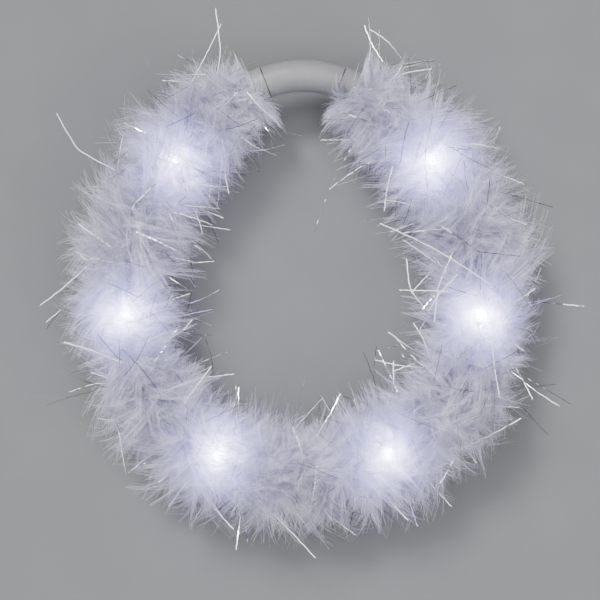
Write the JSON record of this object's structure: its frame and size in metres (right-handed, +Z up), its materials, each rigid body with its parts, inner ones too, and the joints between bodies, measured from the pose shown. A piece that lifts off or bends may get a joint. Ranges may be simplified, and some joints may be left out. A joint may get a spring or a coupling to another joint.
{
  "type": "light-up feather boa crown",
  "caption": "White marabou boa closed into a ring for the head, with tinsel, buried lights and a curved battery case at the back.",
  "frame": {"origin": "under the middle of the ring, on the level it rests on", "axes": "+X to the wearer's right, +Y to the nape and the battery case, +Z up out of the ring"},
  "size_m": [0.2756, 0.2677, 0.0632],
  "materials": {
    "marabou": "soft marabou down",
    "foil": "bright metallised film",
    "thread": "fine polyester thread",
    "cord": "twisted cotton",
    "quill": "satin keratin",
    "hoop_steel": "drawn spring steel",
    "wire_sleeve": "white insulation",
    "red_wire": "red insulation",
    "black_wire": "black insulation",
    "sleeve": "shrunk tubing",
    "light_lens": "clear epoxy, lit",
    "tinned_steel": "tinned",
    "cell_steel": "nickel plated",
    "nickel": "nickel plated spring sheet",
    "frosted_plastic": "frosted translucent white",
    "button_plastic": "smooth moulded",
    "board": "solder mask",
    "chip": "moulded epoxy",
    "resistor_body": "thick film",
    "switch_case": "moulded",
    "plunger": "moulded",
    "screw_steel": "zinc plated"
  },
  "bodies": {
    "crown": {"battery_cell_1": "cell_steel", "battery_cell_2": "cell_steel", "battery_cell_3": "cell_steel", "battery_lead_negative": "black_wire", "battery_lead_positive": "red_wire", "binding_thread": "thread", "boa_cord": "cord", "case_bottom_shell": "frosted_plastic", "case_top_shell": "frosted_plastic", "circuit_board": "board", "collar_left": "frosted_plastic", "collar_right": "frosted_plastic", "contact_plate_positive": "nickel", "contact_spring_negative": "nickel", "control_chip": "chip", "feather_quills": "quill", "hoop_ferrule_left": "hoop_steel", "hoop_ferrule_right": "hoop_steel", "hoop_wire": "hoop_steel", "leg_sleeves": "sleeve", "light_1": "light_lens", "light_1_legs": "tinned_steel", "light_2": "light_lens", "light_2_legs": "tinned_steel", "light_3": "light_lens", "light_3_legs": "tinned_steel", "light_4": "light_lens", "light_4_legs": "tinned_steel", "light_5": "light_lens", "light_5_legs": "tinned_steel", "light_6": "light_lens", "light_6_legs": "tinned_steel", "marabou_tuft_01": "marabou", "marabou_tuft_02": "marabou", "marabou_tuft_03": "marabou", "marabou_tuft_04": "marabou", "marabou_tuft_05": "marabou", "marabou_tuft_06": "marabou", "marabou_tuft_07": "marabou", "marabou_tuft_08": "marabou", "marabou_tuft_09": "marabou", "marabou_tuft_10": "marabou", "marabou_tuft_11": "marabou", "marabou_tuft_12": "marabou", "marabou_tuft_13": "marabou", "resistor": "resistor_body", "switch_body": "switch_case", "tinsel_strands": "foil", "tinsel_thread": "thread", "wire_negative": "wire_sleeve", "wire_positive": "wire_sleeve"},
    "button": {"button_cap": "button_plastic", "switch_plunger": "plunger"},
    "battery_door": {"battery_door": "frosted_plastic"},
    "door_screw": {"door_screw": "screw_steel"}
  },
  "joints": [
    {"name": "button_press", "type": "slide", "parent": "crown", "child": "button", "axis": [0, 0, 1], "range_m": [0, 0.0005], "stiffness_N_per_m": 1500},
    {"name": "door_lift", "type": "slide", "parent": "crown", "child": "battery_door", "axis": [0, 0, -1], "range_m": [0, 0.012]},
    {"name": "door_screw_turn", "type": "hinge", "parent": "battery_door", "child": "door_screw", "pos_m": [0.00308, 0.10231, 0.02], "axis": [0, 0, 1], "continuous": true}
  ]
}
